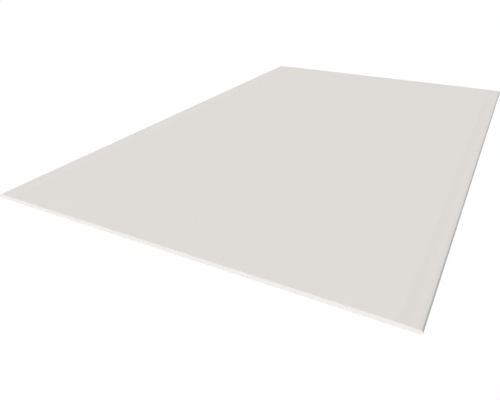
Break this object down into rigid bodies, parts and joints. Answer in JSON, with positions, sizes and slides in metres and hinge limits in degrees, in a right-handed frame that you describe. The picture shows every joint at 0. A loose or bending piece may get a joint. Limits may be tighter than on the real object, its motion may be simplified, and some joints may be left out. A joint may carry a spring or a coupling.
{
  "type": "drywall sheet",
  "caption": "Flat gypsum board in a wrapped paper skin, with tapered, rounded long edges and square cut ends.",
  "frame": {"origin": "centre of the back of the sheet, on the surface that it lies on", "axes": "+X across the sheet's width, +Y along its length, +Z out of the face that is finished and painted"},
  "size_m": [1.25, 2, 0.0125],
  "materials": {
    "gypsum": "matt white set gypsum, cut across, fine grained with small air pores",
    "face_paper": "matt warm light grey lining paper, smooth",
    "back_paper": "matt grey-brown recycled paper, fibres visible"
  },
  "bodies": {
    "root": {"gypsum_core": "gypsum", "face_paper": "face_paper", "back_paper": "back_paper"}
  },
  "joints": []
}
